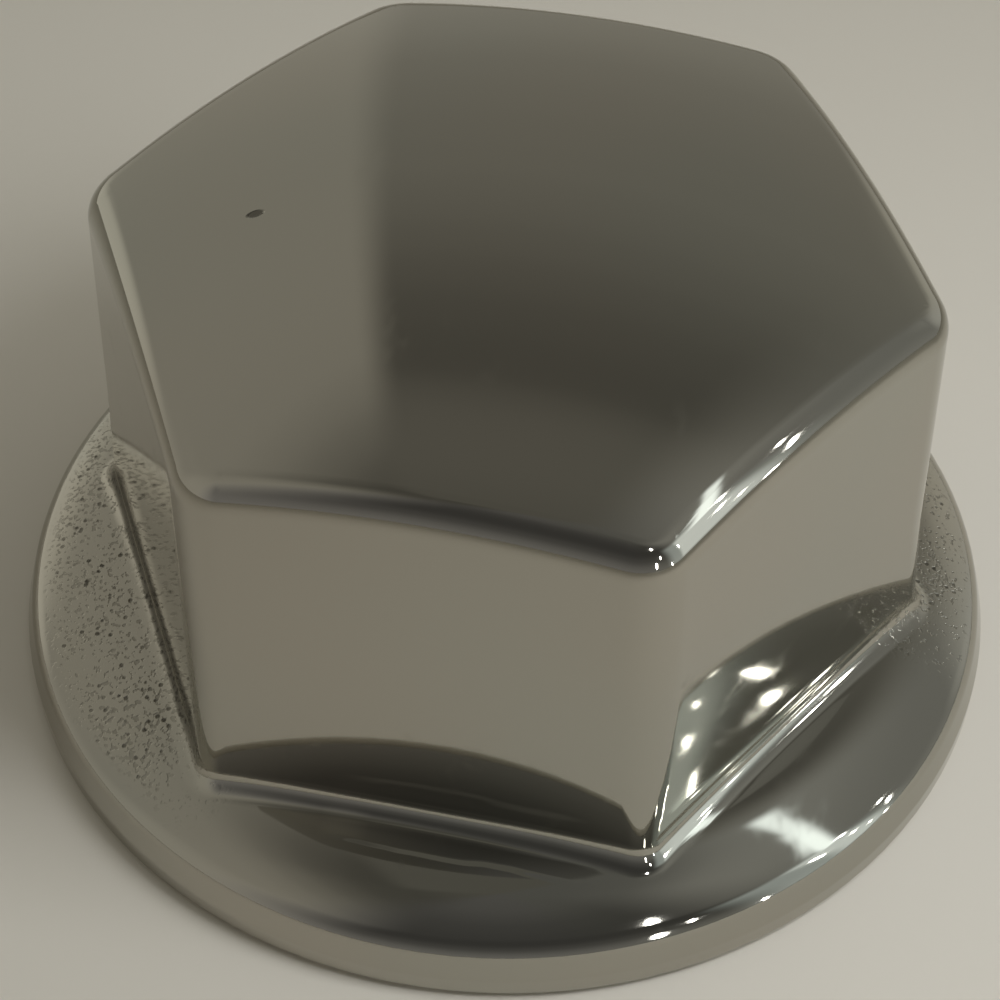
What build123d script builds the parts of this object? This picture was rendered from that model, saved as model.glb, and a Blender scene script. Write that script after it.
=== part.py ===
from build123d import *
import os
from math import asin, cos, degrees, pi, radians, sin, sqrt, tan

# Closed-end flange lug nut: one forged piece, drilled and tapped from below, then
# polished and plated. Millimetres. The origin is the centre of the seat face, +Z
# runs along the thread axis to the closed end, and one flat faces -Y.

# hexagon
across_flats = 33.0  # at the foot, where the corners meet the flange
flat_draft = 1.5  # degrees that each flat leans in towards the closed end
hex_height = 17.5  # from the foot of a corner to its sharp upper end
dome_radius = 54.5  # sphere that closes the top
edge_round = 1.15  # polished round on the top edges
corner_round = 2.0  # polished round on the six upright corners

# flange
flange_d = 44.5  # widest, at the land
seat_chamfer = 0.35
land_height = 0.85  # upright band above the seat chamfer
rim_d = 43.7  # at the rim's upper edge, where it would be sharp
rim_height = 1.45  # leaning band from the land to that edge
rim_round = 1.3
crown_drop = 1.15  # from the foot of a hexagon corner down to the same edge
crown_radius = 10.3  # convex upper face of the flange

# blind stud hole for an M22 x 1.5 thread, at the thread's minor diameter
thread_minor_d = 20.376
thread_length = 15.5  # straight wall between the mouth chamfer and the end cone
mouth_d = 23.0
mouth_chamfer_angle = 45.0  # degrees from the axis
end_cone_angle = 60.0  # degrees from the axis
end_flat_d = 8.0

# heights above the seat
land_top = seat_chamfer + land_height
rim_top = land_top + rim_height
foot_z = rim_top + crown_drop
corner_z = foot_z + hex_height

# hexagon: it starts inside the flange, and the sphere passes its sharp upper corners
lean = tan(radians(flat_draft))
root_z = land_top
root_across_flats = across_flats + 2 * (foot_z - root_z) * lean
foot_corner_r = across_flats / 2 / cos(pi / 6)
top_corner_r = foot_corner_r - hex_height * lean / cos(pi / 6)
dome_centre_z = corner_z - sqrt(dome_radius**2 - top_corner_r**2)
dome_top = dome_centre_z + dome_radius

# crown: an arc from the rim's upper edge through the foot of a corner, up to level
rim_r = rim_d / 2
chord = sqrt((rim_r - foot_corner_r) ** 2 + crown_drop**2)
crown_tilt = asin(crown_drop / chord) + asin(chord / 2 / crown_radius)
crown_centre_r = rim_r - crown_radius * sin(crown_tilt)
crown_centre_z = rim_top - crown_radius * cos(crown_tilt)
crown_peak_z = crown_centre_z + crown_radius

# stud hole
minor_r = thread_minor_d / 2
mouth_depth = (mouth_d / 2 - minor_r) / tan(radians(mouth_chamfer_angle))
wall_end_z = mouth_depth + thread_length
hole_end_z = wall_end_z + (minor_r - end_flat_d / 2) / tan(radians(end_cone_angle))

with BuildPart() as lug_nut:
    # drafted hexagon, closed by the sphere, whose poles and seam are turned off the nut
    with BuildSketch(Plane.XY.offset(root_z)):
        RegularPolygon(radius=root_across_flats / 2, side_count=6, major_radius=False)
    extrude(amount=dome_top - root_z, taper=flat_draft)
    with Locations((0, 0, dome_centre_z)):
        Sphere(radius=dome_radius, rotation=(0, 90, 0), mode=Mode.INTERSECT)

    upright = lug_nut.edges().filter_by(lambda e: e.bounding_box().size.Z > hex_height / 2)
    fillet(upright, radius=corner_round)
    shoulder = lug_nut.faces().sort_by(Axis.Z)[-1].edges()
    fillet(shoulder, radius=edge_round)

    # flange with its convex crown, turned about the axis
    with BuildSketch(Plane.XZ) as flange_section:
        with BuildLine():
            Polyline(
                (0, crown_peak_z),
                (0, 0),
                (flange_d / 2 - seat_chamfer, 0),
                (flange_d / 2, seat_chamfer),
                (flange_d / 2, land_top),
                (rim_r, rim_top),
            )
            CenterArc(
                center=(crown_centre_r, crown_centre_z),
                radius=crown_radius,
                start_angle=90 - degrees(crown_tilt),
                arc_size=degrees(crown_tilt),
            )
            Line((crown_centre_r, crown_peak_z), (0, crown_peak_z))
        make_face()
        rim_edge = flange_section.vertices().sort_by_distance((rim_r, rim_top))[0]
        fillet(rim_edge, radius=rim_round)
    revolve(axis=Axis.Z)

    # blind stud hole with a chamfered mouth and a blunt end cone
    with BuildSketch(Plane.XZ):
        with BuildLine():
            Polyline(
                (0, 0),
                (mouth_d / 2, 0),
                (minor_r, mouth_depth),
                (minor_r, wall_end_z),
                (end_flat_d / 2, hole_end_z),
                (0, hole_end_z),
                close=True,
            )
        make_face()
    revolve(axis=Axis.Z, mode=Mode.SUBTRACT)

lug_nut.part.label = "lug_nut"

os.makedirs("parts", exist_ok=True)
export_step(lug_nut.part, "parts/lug_nut.step")

print("overall height", round(dome_top, 2))
print("thickness of the closed end", round(dome_top - hole_end_z, 2))
print("volume", round(lug_nut.part.volume, 1))
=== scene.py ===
from math import asin, atan2, cos, hypot, pi, radians, sin, sqrt, tan

import bmesh
import bpy
import numpy as np
from mathutils import Matrix, Vector


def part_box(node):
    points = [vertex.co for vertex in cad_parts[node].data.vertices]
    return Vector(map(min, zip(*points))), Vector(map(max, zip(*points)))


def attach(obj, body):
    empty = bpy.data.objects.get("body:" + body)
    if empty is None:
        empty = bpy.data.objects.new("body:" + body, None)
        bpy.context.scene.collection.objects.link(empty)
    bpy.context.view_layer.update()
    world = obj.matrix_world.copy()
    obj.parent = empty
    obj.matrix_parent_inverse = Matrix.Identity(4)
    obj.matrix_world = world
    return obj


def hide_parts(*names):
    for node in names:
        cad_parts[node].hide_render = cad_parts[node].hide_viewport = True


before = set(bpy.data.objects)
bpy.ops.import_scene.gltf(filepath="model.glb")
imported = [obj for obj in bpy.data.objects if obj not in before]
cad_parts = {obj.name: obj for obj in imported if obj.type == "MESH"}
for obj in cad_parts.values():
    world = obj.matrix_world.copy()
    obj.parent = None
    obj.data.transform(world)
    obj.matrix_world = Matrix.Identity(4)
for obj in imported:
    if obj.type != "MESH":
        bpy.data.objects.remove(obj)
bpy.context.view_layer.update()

# ---------------------------------------------------------------------------
# Nut: one forging of carbon steel, a drafted hexagon with a domed closed end on
# a convex flange. The polishing wheel rounded every outer edge before plating.
# The outside is a skin laid on the forging's faces, and the hole is tapped below.
# ---------------------------------------------------------------------------
mm = 0.001
lowest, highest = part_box("lug_nut")
across_flats = 33.0 * mm
flat_draft = radians(1.5)
hex_height = 17.5 * mm
dome_radius = 54.5 * mm
edge_round = 1.5 * mm
foot_corner_round, upper_corner_round = 1.2 * mm, 2.6 * mm
corner_round_grows = 7.0 * mm
foot_fillet = 0.8 * mm

flange_r = (highest.x - lowest.x) / 2
seat_chamfer = 0.35 * mm
land_height = 0.85 * mm
rim_r = 21.85 * mm
rim_height = 1.45 * mm
rim_round = 1.3 * mm
crown_drop = 1.15 * mm
crown_radius = 10.3 * mm
band_break = 0.25 * mm
land_break = 0.08 * mm

land_top = seat_chamfer + land_height
rim_top = land_top + rim_height
foot_z = rim_top + crown_drop
foot_corner_r = across_flats / 2 / cos(pi / 6)
dome_centre_z = highest.z - dome_radius
chord = hypot(rim_r - foot_corner_r, crown_drop)
crown_tilt = asin(crown_drop / chord) + asin(chord / 2 / crown_radius)
crown_r = rim_r - crown_radius * sin(crown_tilt)
crown_z = rim_top - crown_radius * cos(crown_tilt)
band_lean = atan2(flange_r - rim_r, rim_height)


def rounded_over(a, b, between, radius):
    """Stand-off from two faces with their edge rounded; between is their normals' cosine."""
    a, b = a + radius, b + radius
    on_edge = (a > b * between) & (b > a * between) & (np.maximum(a, b) > 0)
    edge = np.sqrt(np.maximum(a * a + b * b - 2 * a * b * between, 0)) / np.sqrt(1 - between**2)
    return np.where(on_edge, edge, np.maximum(a, b)) - radius


def off_hexagon(x, y, z):
    """How far points stand off the drafted hexagon with its domed end."""
    turn = np.abs((np.arctan2(y, x) + pi / 2 + pi / 6) % (pi / 3) - pi / 6)
    r = np.hypot(x, y)
    out, along = r * np.cos(turn), r * np.sin(turn)
    up_corner = np.clip((z - foot_z) / corner_round_grows, 0, 1)
    growth = upper_corner_round - foot_corner_round
    corner_round = foot_corner_round + growth * up_corner**2 * (3 - 2 * up_corner)
    core = across_flats / 2 - (z - foot_z) * tan(flat_draft) - corner_round
    past_corner = np.maximum(along - core * tan(pi / 6), 0)
    wall = np.where(past_corner > 0, np.hypot(np.maximum(out - core, 0), past_corner), out - core)
    facing_out = np.where(past_corner > 0, np.maximum(out - core, 0) / np.maximum(wall, 1e-9), 1.0)
    facing_side = np.where(past_corner > 0, past_corner / np.maximum(wall, 1e-9), 0.0)
    reach = np.hypot(r, z - dome_centre_z)
    level_part = (out * facing_out + along * facing_side) * cos(flat_draft)
    between = (level_part + (z - dome_centre_z) * sin(flat_draft)) / reach
    off_flats = (wall - corner_round) * cos(flat_draft)
    return rounded_over(off_flats, reach - dome_radius, between, edge_round)


def off_flange(r, z):
    """How far points stand off the turned flange, from its crown to the seat chamfer."""
    crown_reach = np.maximum(np.hypot(r - crown_r, z - crown_z), 1e-9)
    crown = np.where(r > crown_r, crown_reach, z - crown_z) - crown_radius
    band = (r - flange_r) * cos(band_lean) + (z - land_top) * sin(band_lean)
    land = r - flange_r
    chamfer = (r - flange_r + seat_chamfer - z) / sqrt(2)
    between = ((r - crown_r) * cos(band_lean) + (z - crown_z) * sin(band_lean)) / crown_reach
    rim = rounded_over(crown, band, np.clip(between, -0.999, 0.999), rim_round)
    bend = rounded_over(band, land, cos(band_lean), band_break)
    lip = rounded_over(land, chamfer, sqrt(0.5), land_break)
    sole = rounded_over(chamfer, -z, sqrt(0.5), land_break)
    return np.maximum(np.maximum(rim, bend), np.maximum(lip, sole))


def off_nut(x, y, z):
    """How far points stand off the whole outside, with the forged hollow at the foot of the flats."""
    hexagon, flange = off_hexagon(x, y, z), off_flange(np.hypot(x, y), z)
    in_hollow = (hexagon < foot_fillet) & (flange < foot_fillet)
    hollow = foot_fillet - np.hypot(foot_fillet - hexagon, foot_fillet - flange)
    return np.where(in_hollow, hollow, np.minimum(hexagon, flange))


# bearings round the axis, closest over the six rounded corners
near_corner = [0, 0.35, 0.7, 1.05, 1.4, 1.75, 2.1, 2.5, 2.95, 3.45, 4.0, 4.7, 5.7, 7.1, 9.0, 11.4, 14.2]
near_corner = np.radians(near_corner + [17.2, 20.3, 23.5, 26.7])
sector = np.concatenate([near_corner, [pi / 6], pi / 3 - near_corner[:0:-1]])
bearings = np.concatenate([sector + k * pi / 3 for k in range(6)])
columns = len(bearings)
off_flat = np.abs((bearings + pi / 2 + pi / 6) % (pi / 3) - pi / 6)


def cast(from_r, from_z, pitch, reach):
    """Where a line from inside the metal leaves the skin, in the half-plane of each bearing."""
    from_r, from_z, pitch = (np.broadcast_to(v, columns).astype(float) for v in (from_r, from_z, pitch))
    near, far = np.zeros(columns), np.full(columns, reach)
    for _ in range(40):  # halved until it is far finer than the mesh
        middle = (near + far) / 2
        r, z = from_r + np.cos(pitch) * middle, from_z + np.sin(pitch) * middle
        inside = off_nut(r * np.cos(bearings), r * np.sin(bearings), z) < 0
        near, far = np.where(inside, middle, near), np.where(inside, far, middle)
    return from_r + np.cos(pitch) * near, from_z + np.sin(pitch) * near


def steps(start, stop, count):
    """Count values after start, up to and with stop."""
    return np.linspace(start, stop, count + 1)[1:]


# closed end and its polished round, seen from the middle of the hexagon
skin = []
right_across = 40 * mm
heart_z = foot_z + hex_height * 0.45
shoulder_r = (across_flats / 2 - hex_height * tan(flat_draft)) / np.cos(off_flat)
shoulder_z = dome_centre_z + np.sqrt(dome_radius**2 - shoulder_r**2)
shoulder = np.arctan2(shoulder_z - heart_z, shoulder_r)
over_round = radians(6.5)
for share in steps(0, 1, 24):
    skin.append(cast(0, heart_z, pi / 2 - (pi / 2 - shoulder - over_round) * share, right_across))
for share in steps(1, -1, 26):
    skin.append(cast(0, heart_z, shoulder + over_round * share, right_across))

# flats, from the round down to just above the foot
corner_setback = 0.1547 * foot_corner_round  # how far a round draws a sharp 120 degree corner in
foot_r = np.minimum(across_flats / 2 / np.cos(off_flat), foot_corner_r - corner_setback)
crown_rise = np.sqrt(crown_radius**2 - np.maximum(foot_r - crown_r, 0) ** 2)
foot_line_z = crown_z + crown_rise
flat_top_z = skin[-1][1]
flat_end_z = foot_line_z + 1.9 * foot_fillet
for share in steps(0, 1, 9):
    skin.append(cast(0, flat_top_z + (flat_end_z - flat_top_z) * share, 0, right_across))

# forged hollow at the foot, then the crown out to the rim
below_skin = 2 * mm
for slide in steps(-1.3, 1.7, 18) * foot_fillet:
    start_r = foot_r + (slide - below_skin) * sqrt(0.5)
    start_z = foot_line_z - (slide + below_skin) * sqrt(0.5)
    skin.append(cast(start_r, start_z, pi / 4, 6 * mm))
crown_start = skin[-1][0]
crown_end = rim_r - 1.1 * mm
for share in steps(0, 1, 14):
    skin.append(cast(crown_start + (crown_end - crown_start) * share, 0.5 * mm, pi / 2, 10 * mm))

# rim round, leaning band, land and seat chamfer, seen from inside the rim
inside_r, inside_z = flange_r - 1.8 * mm, 1.35 * mm
first_pitch = np.arctan2(skin[-1][1] - inside_z, skin[-1][0] - inside_r)
land_pitch = radians(-38)
sole_pitch = atan2(-inside_z, 1.2 * mm)
for share in steps(0, 1, 40):
    skin.append(cast(inside_r, inside_z, first_pitch + (land_pitch - first_pitch) * share, 5 * mm))
for share in steps(0, 1, 6):
    skin.append(cast(inside_r, inside_z, land_pitch + (sole_pitch - land_pitch) * share, 5 * mm))

nut_mesh = bpy.data.meshes.new("nut")
shape = bmesh.new()


def ring(radii, heights):
    """One closed row of points round the axis."""
    return [
        shape.verts.new((r * cos(b), r * sin(b), z))
        for r, z, b in zip(np.broadcast_to(radii, columns), np.broadcast_to(heights, columns), bearings)
    ]


def skin_between(upper, lower):
    """Joins two rows with faces that look outward from the upper to the lower."""
    for k in range(columns):
        following = (k + 1) % columns
        shape.faces.new((upper[k], lower[k], lower[following], upper[following]))


top_point = shape.verts.new((0, 0, highest.z))
rows = [ring(radii, heights) for radii, heights in skin]
for k in range(columns):
    shape.faces.new((top_point, rows[0][k], rows[0][(k + 1) % columns]))
for upper, lower in zip(rows, rows[1:]):
    skin_between(upper, lower)
skin_count = 1 + columns * len(rows)

# seat face, then the tapped hole: its thread is M22 x 1.5, cut up to a run-out below the blunt end
thread_minor_r = 20.376 / 2 * mm
thread_major_r = 11.05 * mm
pitch_length = 1.5 * mm
mouth_r = 11.5 * mm
mouth_depth = mouth_r - thread_minor_r
wall_end_z = mouth_depth + 15.5 * mm
end_flat_r = 4.0 * mm
hole_end_z = wall_end_z + (thread_minor_r - end_flat_r) / tan(radians(60))
run_out_z = wall_end_z - 1.2 * mm
stations = 8  # rows across one pitch
profile = [0, 0, 0, 0.4, 0.8, 1.0, 0.8, 0.4]  # share of the full depth at each

seat_inner = ring(mouth_r + 0.2 * mm, 0.0)
skin_between(rows[-1], seat_inner)
thread_rows = int((wall_end_z + 3 * pitch_length) / pitch_length) * stations
turned = bearings / (2 * pi)
thread = []
for k in range(thread_rows):
    z = np.clip((k / stations + turned - 2) * pitch_length, 0, wall_end_z)
    fade = np.clip((run_out_z - z) / (2 * pitch_length), 0, 1)
    cut = thread_minor_r + (thread_major_r - thread_minor_r) * profile[k % stations] * fade
    thread.append(ring(np.maximum(cut, mouth_r - z), z))
mouth = ring(mouth_r, 0.0)
skin_between(seat_inner, mouth)
for k in range(thread_rows - 1):
    for j in range(columns - 1):
        shape.faces.new((thread[k][j], thread[k + 1][j], thread[k + 1][j + 1], thread[k][j + 1]))
for k in range(thread_rows - 1 - stations):  # the end of each turn meets the start of the next
    end, start = thread[k : k + 2], thread[k + stations : k + stations + 2]
    shape.faces.new((end[0][-1], end[1][-1], start[1][0], start[0][0]))
wall_end = ring(thread_minor_r, wall_end_z)
cone_end = ring(end_flat_r, hole_end_z)
skin_between(wall_end, cone_end)
shape.faces.new(cone_end[::-1])
bmesh.ops.remove_doubles(shape, verts=shape.verts[skin_count:], dist=1e-7)
bmesh.ops.dissolve_degenerate(shape, edges=shape.edges[:], dist=1e-8)
shape.to_mesh(nut_mesh)
shape.free()
nut_mesh.polygons.foreach_set("use_smooth", np.ones(len(nut_mesh.polygons), bool))
nut_mesh.set_sharp_from_angle(angle=radians(35))

# every point of the skin faces the way its stand-off grows, so that mirrored lines run true
points = np.zeros(len(nut_mesh.vertices) * 3)
nut_mesh.vertices.foreach_get("co", points)
x, y, z = points.reshape(-1, 3).T
nudge = 1e-6
facing = np.stack(
    [
        off_nut(x + nudge, y, z) - off_nut(x - nudge, y, z),
        off_nut(x, y + nudge, z) - off_nut(x, y - nudge, z),
        off_nut(x, y, z + nudge) - off_nut(x, y, z - nudge),
    ],
    axis=1,
)
facing /= np.maximum(np.linalg.norm(facing, axis=1, keepdims=True), 1e-12)
in_hole = (np.hypot(x, y) < mouth_r + 0.1 * mm) & (z < hole_end_z + 0.1 * mm)
facing[in_hole] = 0
nut_mesh.normals_split_custom_set_from_vertices(facing.tolist())
nut = bpy.data.objects.new("nut", nut_mesh)
bpy.context.collection.objects.link(nut)
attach(nut, "root")
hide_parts("lug_nut")


class Wire:
    """A socket in a node tree. Arithmetic on it adds Math nodes, and add() any other node."""

    def __init__(self, tree, socket=None):
        self.tree, self.socket = tree, socket

    def add(self, kind, settings=None, sockets=None, output=0):
        """Any node: its type, its settings, which are set first, and its sockets' values or links."""
        node = self.tree.nodes.new(kind)
        for name, value in (settings or {}).items():
            if name == "stops":
                ramp = node.color_ramp
                ramp.elements.remove(ramp.elements[1])
                ramp.elements[0].position, ramp.elements[0].color = value[0][0], (*[value[0][1]] * 3, 1)
                for at, level in value[1:]:
                    ramp.elements.new(at).color = (*[level] * 3, 1)
            elif name == "blending":
                node.color_ramp.interpolation = value
            else:
                setattr(node, name, value)
        for name, value in (sockets or {}).items():
            if isinstance(value, Wire):
                self.tree.links.new(value.socket, node.inputs[name])
            else:
                node.inputs[name].default_value = value
        return Wire(self.tree, node.outputs[output]) if node.outputs else node

    def beside(self, output):
        """Another output of the node that this one comes from."""
        return Wire(self.tree, self.socket.node.outputs[output])

    def math(self, operation, *values):
        return self.add("ShaderNodeMath", {"operation": operation}, dict(enumerate(values)))

    def __add__(self, other):
        return self.math("ADD", self, other)

    def __sub__(self, other):
        return self.math("SUBTRACT", self, other)

    def __rsub__(self, other):
        return self.math("SUBTRACT", other, self)

    def __mul__(self, other):
        return self.math("MULTIPLY", self, other)

    def __truediv__(self, other):
        return self.math("DIVIDE", self, other)

    __radd__, __rmul__ = __add__, __mul__

    def fades(self, start, end):
        """0 at start and 1 at end, easing in and out."""
        settings = {"interpolation_type": "SMOOTHSTEP"}
        sockets = {"Value": self, "From Min": start, "From Max": end}
        return self.add("ShaderNodeMapRange", settings, sockets)

    def mixed(self, a, b):
        """Colour a where this is 0 and colour b where it is 1."""
        return self.add("ShaderNodeMix", {"data_type": "RGBA"}, {0: self, 6: a, 7: b}, 2)


# bright nickel-chrome plate: a mirror where the wheel reached, etched and pitted on the
# flange beside the back corners, where it could not, and thin inside the hole
plate = bpy.data.materials.new("bright_plate")
plate.use_nodes = True
plate.node_tree.nodes.clear()
wire = Wire(plate.node_tree)
place = wire.add("ShaderNodeTexCoord", output="Object")
x_of = wire.add("ShaderNodeSeparateXYZ", {}, {0: place}, "X")
y_of, z_of = x_of.beside("Y"), x_of.beside("Z")
r_of = wire.math("SQRT", x_of * x_of + y_of * y_of)


def toward(bearing):
    """The cosine of the angle round the axis from a bearing."""
    return (x_of * cos(radians(bearing)) + y_of * sin(radians(bearing))) / (r_of + 1e-6)


def noise(scale, detail=3.0, roughness=0.5, vector=place):
    """Cloudy variation over the nut, finer as scale grows."""
    sockets = {"Vector": vector, "Scale": scale, "Detail": detail, "Roughness": roughness}
    return wire.add("ShaderNodeTexNoise", {}, sockets)


def pits(scale, wide, share):
    """Small round pits scattered over the surface, of which only a share are there."""
    settings, sockets = {"feature": "F1"}, {"Vector": place, "Scale": scale, "Randomness": 1.0}
    gap = wire.add("ShaderNodeTexVoronoi", settings, sockets, "Distance")
    pick = wire.add("ShaderNodeSeparateColor", {}, {0: gap.beside("Color")}, "Red")
    return (1 - gap.fades(wide * 0.4, wide)) * pick.fades(1 - share, 1 - share + 0.05)


haze = noise(90, detail=2.0)
drift = noise(48, detail=1.0)
blotches = noise(260, detail=2.0)
speckle = noise(4300, detail=1.0, roughness=0.6)
grain = noise(7500, detail=2.0, roughness=0.65)
drawn_out = wire.add("ShaderNodeVectorMath", {"operation": "MULTIPLY"}, {0: place, 1: (1.0, 0.45, 1.0)})
smears = noise(420, roughness=0.75, vector=drawn_out)

# the tapped hole
in_bore = (1 - r_of.fades(11.45 * mm, 11.6 * mm)) * (1 - z_of.fades(20.6 * mm, 20.9 * mm))

# the flange's crown beside two corners, left satin, with worn specks and pinholes
short_of_rim = 1 - (r_of + 1.6 * mm * (blotches - 0.5)).fades(20.6 * mm, 21.6 * mm)
on_crown = (1 - z_of.fades(4.5 * mm, 5.3 * mm)) * short_of_rim
left_side = toward(192).fades(0.58, 0.84)
right_side = toward(14).fades(0.90, 0.98)
unreached = (left_side + right_side) * on_crown
satin = unreached * (0.62 + 0.8 * (blotches - 0.5))
worn = (speckle + 0.35 * (blotches - 0.5)).fades(0.555, 0.66) * unreached
pinholes = pits(scale=2900, wide=0.40, share=0.33) * blotches.fades(0.40, 0.55) * unreached

# a line of rough metal at the foot of the left flat, darkened there with painted shade along the crease
uneven = (16.60 + 0.25 * (blotches - 0.5)) * mm
off_left_flat = wire.math("ABSOLUTE", x_of * cos(pi / 6) + y_of * 0.5 + uneven)
along_flat = wire.math("ABSOLUTE", x_of * 0.5 - y_of * cos(pi / 6))
rough_shaded_crease = (1 - off_left_flat.fades(0.02 * mm, 0.22 * mm)) * (1 - z_of.fades(4.5 * mm, 4.9 * mm))
rough_shaded_crease = rough_shaded_crease * left_side * (1 - along_flat.fades(8.6 * mm, 9.6 * mm))

# one small oval mark on the dome
mark_x, mark_y = x_of + 9.96 * mm, y_of + 2.52 * mm
mark_along, mark_across = mark_x * 0.87 + mark_y * 0.50, mark_y * 0.87 - mark_x * 0.50
mark_gap = wire.math("SQRT", mark_along * mark_along + mark_across * mark_across * 3.4)
mark = (1 - mark_gap.fades(0.26 * mm, 0.44 * mm)) * z_of.fades(20 * mm, 21 * mm)

# the wheel left low ripples on the crown before the front flat
before_front = y_of + 0.5 * (blotches - 0.5) * mm + 18.05 * mm
ripple_here = x_of.fades(-4.2 * mm, -2.0 * mm) * (1 - x_of.fades(5.2 * mm, 7.2 * mm))
ripple_here = ripple_here * (1 - z_of.fades(5 * mm, 6 * mm))
short_of_flat = 1 - y_of.fades(-16.9 * mm, -16.0 * mm)
ripple = before_front.fades(-0.28 * mm, 0.06 * mm) * ripple_here * short_of_flat

warm_chrome, cool_chrome = (0.424, 0.400, 0.352, 1), (0.410, 0.402, 0.358, 1)
etched, pit_and_crease_shade, thin_plate = (0.46, 0.43, 0.36, 1), (0.09, 0.083, 0.068, 1), (0.20, 0.19, 0.17, 1)
height = grain * 0.10 * satin - 0.5 * worn - pinholes + 0.7 * ripple - mark * 1.2
bump = wire.add("ShaderNodeBump", {}, {"Strength": 0.6, "Distance": 0.06 * mm, "Height": height})
colour = drift.fades(0.35, 0.65).mixed(warm_chrome, cool_chrome)
colour = (satin * 0.5).mixed(colour, etched)
# painted shade: the crease at the foot of the left flat is darkened toward the pit colour, beside the
# real pits, worn specks and the mark
dark = wire.math("MINIMUM", 0.28 * worn + pinholes * 0.75 + rough_shaded_crease * 0.75 + mark * 0.8, 0.9)
colour = dark.mixed(colour, pit_and_crease_shade)
colour = in_bore.mixed(colour, thin_plate)
roughness = 0.03 + 0.03 * haze + 0.11 * smears.fades(0.52, 0.80)
roughness = roughness + 0.26 * satin + 0.12 * worn + 0.2 * pinholes
roughness = roughness + 0.3 * rough_shaded_crease + 0.25 * in_bore + 0.2 * mark
surface = {"Base Color": colour, "Metallic": 1.0, "Roughness": roughness, "Normal": bump}
shader = wire.add("ShaderNodeBsdfPrincipled", {}, surface)
wire.add("ShaderNodeOutputMaterial", {}, {"Surface": shader})
nut_mesh.materials.append(plate)

# ---------------------------------------------------------------------------
# Floor: a plain pale board, on which the nut stands on its seat. It is large
# enough to fill every view.
# ---------------------------------------------------------------------------
floor_r = 3.0
pale_paint = (0.71, 0.665, 0.575, 1)
floor_mesh = bpy.data.meshes.new("floor")
shape = bmesh.new()
just_below = Matrix.Translation((0, 0, -0.02 * mm))
bmesh.ops.create_circle(shape, cap_ends=True, segments=96, radius=floor_r, matrix=just_below)
shape.to_mesh(floor_mesh)
shape.free()
floor = bpy.data.objects.new("floor", floor_mesh)
bpy.context.collection.objects.link(floor)
board = bpy.data.materials.new("pale_board")
board.use_nodes = True
paint = board.node_tree.nodes["Principled BSDF"].inputs
paint["Base Color"].default_value = pale_paint
paint["Roughness"].default_value = 0.8
floor_mesh.materials.append(board)

# ---------------------------------------------------------------------------
# Light: the soft levels of a plain room that the plate mirrors, a key and a
# ceiling panel that light the board, and a window with tall narrow lamps about it
# on the right.
# ---------------------------------------------------------------------------
room = bpy.data.worlds.new("room")
bpy.context.scene.world = room
room.use_nodes = True
room.node_tree.nodes.clear()
wire = Wire(room.node_tree)
look = wire.add("ShaderNodeTexCoord", output="Generated")
x_of = wire.add("ShaderNodeSeparateXYZ", {}, {0: look}, "X")
y_of, z_of = x_of.beside("Y"), x_of.beside("Z")

# bearing in the room in degrees: 0 behind the nut, 90 to its right, -90 to its left
round_about = wire.math("ARCTAN2", x_of, y_of) * (180 / pi)
up_share = wire.math("ARCSINE", z_of) * (2 / pi)  # 0 at the floor line, 1 overhead
above = up_share * 90


def wall(share, *stops):
    """Levels up a wall, from the floor line to overhead, in degrees."""
    settings = {"stops": [(at / 90, level) for at, level in stops], "blending": "CARDINAL"}
    return wire.add("ShaderNodeValToRGB", settings, {0: share})


def along(x, y, z):
    """How far the line of sight runs along a direction."""
    sockets = {0: look, 1: (x, y, z)}
    return wire.add("ShaderNodeVectorMath", {"operation": "DOT_PRODUCT"}, sockets, "Value")


def glow(turn, tilt, inner, outer):
    """A round soft patch of light on the wall, in degrees."""
    turn, tilt = radians(turn), radians(tilt)
    near = along(sin(turn) * cos(tilt), cos(turn) * cos(tilt), sin(tilt))
    return near.fades(cos(radians(outer)), cos(radians(inner)))


back_wall = wall(
    wire.math("ARCTAN2", z_of, y_of) * (2 / pi),
    (0, 0.34), (5, 0.335), (10, 0.32), (15, 0.295), (20, 0.28), (27, 0.262), (33, 0.25), (38, 0.238),
    (45, 0.205), (50, 0.175), (55, 0.146), (60, 0.126), (65, 0.12), (67, 0.14), (70, 0.165), (76, 0.17),
    (80, 0.155), (84, 0.15), (90, 0.15),
)
left_wall = wall(
    up_share,
    (0, 0.43), (10, 0.41), (20, 0.385), (30, 0.37), (45, 0.37), (55, 0.36), (60, 0.34), (65, 0.27),
    (70, 0.185), (75, 0.125), (80, 0.105), (84, 0.12), (90, 0.15),
)
front_left_wall = wall(
    up_share,
    (0, 0.44), (30, 0.43), (50, 0.39), (60, 0.35), (65, 0.29), (70, 0.21), (75, 0.135), (80, 0.11),
    (84, 0.12), (90, 0.15),
)
front_wall = wall(
    up_share,
    (0, 0.25), (5, 0.235), (10, 0.215), (20, 0.17), (30, 0.12), (38, 0.10), (45, 0.08), (55, 0.072),
    (65, 0.08), (70, 0.09), (75, 0.105), (80, 0.13), (85, 0.145), (90, 0.15),
)
right_wall = wall(
    up_share,
    (0, 0.33), (20, 0.28), (35, 0.27), (45, 0.28), (54, 0.31), (62, 0.34), (70, 0.30), (76, 0.20),
    (82, 0.16), (90, 0.15),
)

# the walls blend into each other at the room's corners, and two soft patches of light lie on them
level = along(1, 0.32, 0.17).fades(0.03, -0.04).mixed(back_wall, left_wall)
level = round_about.fades(22, 48).mixed(level, right_wall)
level = round_about.fades(-98, -116).mixed(level, front_left_wall)
level = round_about.fades(-130, -166).mixed(level, front_wall)
level = round_about.fades(88, 124).mixed(level, front_wall)
right_patch = glow(turn=38, tilt=10, inner=8, outer=26)
left_patch = glow(turn=-60, tilt=6, inner=8, outer=24)
level = (0.55 * right_patch).mixed(level, (0.75, 0.75, 0.75, 1))
level = (0.36 * left_patch).mixed(level, (1.1, 1.1, 1.1, 1))


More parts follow.
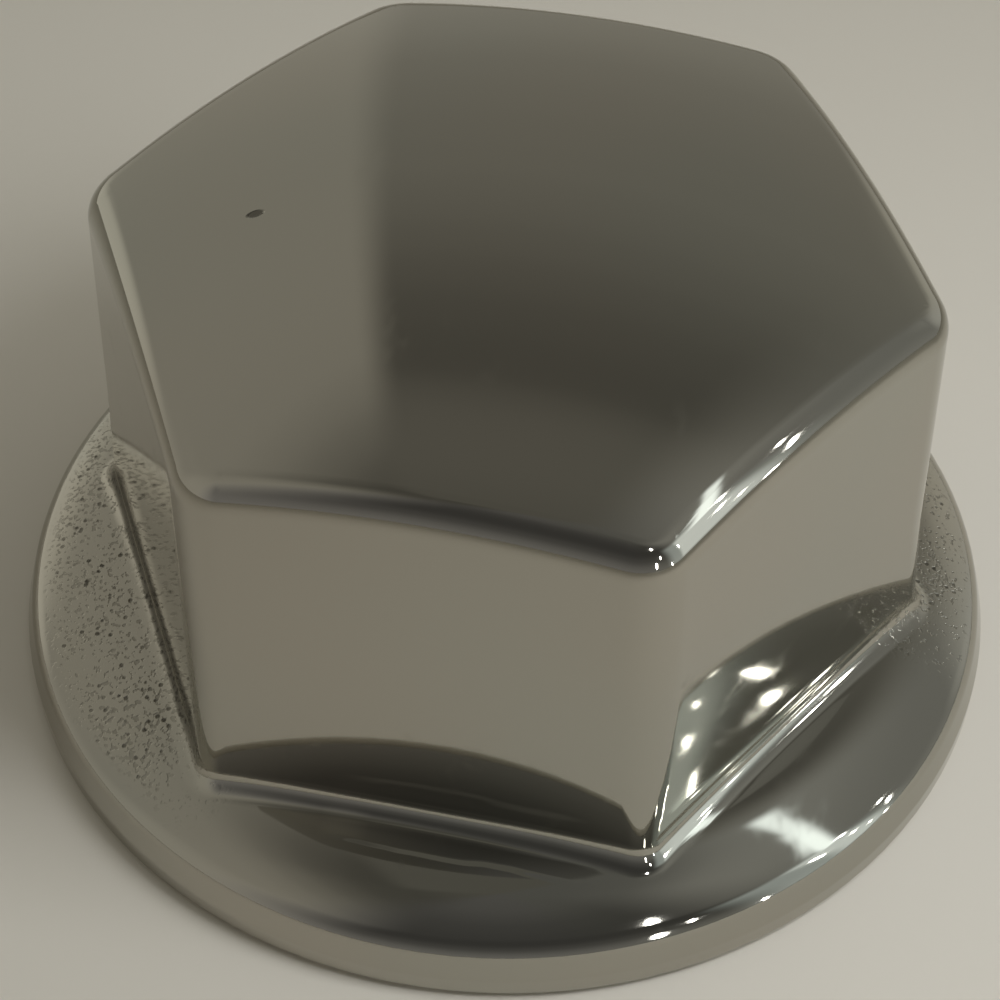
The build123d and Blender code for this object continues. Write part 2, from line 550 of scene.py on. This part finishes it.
def within(value, middle, outer, inner):
    """1 inside a band about a middle value, fading to 0 outside it."""
    return wire.math("ABSOLUTE", value - middle).fades(outer, inner)


# the window, the pale wall beside it, and the bright strip and bowed bar of its frame
pale_wall, window_pane, frame_shine = (1.15, 1.3, 1.4, 1), (1.35, 1.45, 1.55, 1), (2.2, 2.4, 2.6, 1)
window = within(round_about, 93, 9, 3) * within(above, 24, 27, 18)
beside = within(round_about, 101, 23, 8) * within(above, 24, 30, 20)
level = (0.36 * beside).mixed(level, pale_wall)
level = (0.72 * window).mixed(level, window_pane)
strip = within(along(0.5, cos(pi / 6), 0), 0.385, 0.040, 0.012)
strip = strip * within(above, 51, 12, 8) * x_of.fades(0.1, 0.2)
past_end = round_about - 42
bowed = above + 0.0071 * past_end * past_end
bar = within(bowed, 65.4, 2.2, 0.7) * within(round_about, 66, 25, 15)
colour = wire.math("MAXIMUM", strip, 0.85 * bar).mixed(level, frame_shine)

# the room is warm on the left and nearly white on the right and before the nut
tint = round_about.fades(22, 48).mixed((1, 0.975, 0.85, 1), (1, 1.0, 0.93, 1))
from_front = wire.math("ABSOLUTE", round_about).fades(125, 160)
tint = from_front.mixed(tint, (1, 0.985, 0.95, 1))
multiply = {"data_type": "RGBA", "blend_type": "MULTIPLY"}
colour = wire.add("ShaderNodeMix", multiply, {0: 1.0, 6: colour, 7: tint}, 2)
background = wire.add("ShaderNodeBackground", {}, {"Color": colour, "Strength": 1.0})
wire.add("ShaderNodeOutputWorld", {}, {"Surface": background})


def lamp(name, turn, tilt, distance, width, height, level, round_lamp=False):
    """An area lamp that faces the nut; level is how bright its face is."""
    light = bpy.data.lights.new(name, "AREA")
    light.shape = "ELLIPSE" if round_lamp else "RECTANGLE"
    light.size, light.size_y = width, height
    area = width * height * (pi / 4 if round_lamp else 1)
    light.energy = level * pi * area
    hung = bpy.data.objects.new(name, light)
    turn, tilt = radians(turn), radians(tilt)
    aim = Vector((sin(turn) * cos(tilt), cos(turn) * cos(tilt), sin(tilt)))
    nut_middle = Vector((0, 0, 12 * mm))
    facing_nut = aim.to_track_quat("Z", "Y").to_matrix().to_4x4()
    hung.matrix_world = Matrix.Translation(aim * distance + nut_middle) @ facing_nut
    bpy.context.collection.objects.link(hung)
    return hung


key = lamp("key", turn=104, tilt=52, distance=0.105, width=0.05, height=0.05, level=7.0)
key.data.color = (0.97, 1.0, 1.06)
ceiling = lamp("ceiling", turn=75, tilt=68, distance=0.5, width=0.5, height=0.5, level=0.38)
key.visible_glossy = ceiling.visible_glossy = False
key.visible_camera = ceiling.visible_camera = False

# narrow lamps: each one's bearing, height, width, length and lean, all in degrees
narrow_lamps = [
    (82.6, 21.5, 1.1, 12, 17), (77, 37.5, 1.0, 6, 28), (90, 14.5, 0.5, 3.5, 4),
    (91, 27, 0.8, 5, 12), (86.2, 41.5, 0.9, 6, 17), (98.5, 32, 1.4, 10, 3),
    (87, -3, 1.4, 12, -4), (116.5, 3, 1.2, 12, 0), (137.5, 15, 2.6, 18, 5),
    (128, 34, 1.4, 10, 12), (124.5, 61.5, 1.8, 7, 24),
]
lamp_distance, lamp_level = 2.0, 26
for count, (turn, tilt, wide, tall, lean) in enumerate(narrow_lamps):
    wide, tall = (2 * lamp_distance * tan(radians(size / 2)) for size in (wide, tall))
    narrow = lamp(f"lamp_{count}", turn, tilt, lamp_distance, wide, tall, lamp_level, round_lamp=True)
    narrow.matrix_world = narrow.matrix_world @ Matrix.Rotation(radians(-lean), 4, "Z")
    narrow.visible_diffuse = narrow.visible_camera = False

# ---------------------------------------------------------------------------
# Camera: close above the nut and a little to its right, so that the dome looms
# over the flange. It is rolled by about half a degree.
# ---------------------------------------------------------------------------
lens_distance = 114.01  # in millimetres
turn, tilt, roll = radians(11.902), radians(47.056), radians(0.605)
back = Vector((sin(turn) * cos(tilt), -cos(turn) * cos(tilt), sin(tilt)))
level_right = Vector((cos(turn), sin(turn), 0))
level_up = back.cross(level_right)
right = level_right * cos(roll) + level_up * sin(roll)
up = level_up * cos(roll) - level_right * sin(roll)
view = bpy.data.cameras.new("camera")
view.lens, view.sensor_width = 88.52, 36.0
view.clip_start, view.clip_end = 0.01, 10.0
camera = bpy.data.objects.new("camera", view)
looked_at = Vector((0, 0, foot_z)) - right * 0.257 * mm + up * 1.711 * mm
aimed = Matrix((right, up, back)).transposed().to_4x4()
camera.matrix_world = Matrix.Translation(looked_at + back * lens_distance * mm) @ aimed
bpy.context.collection.objects.link(camera)
bpy.context.scene.camera = camera
bpy.context.scene.view_settings.view_transform = "Standard"
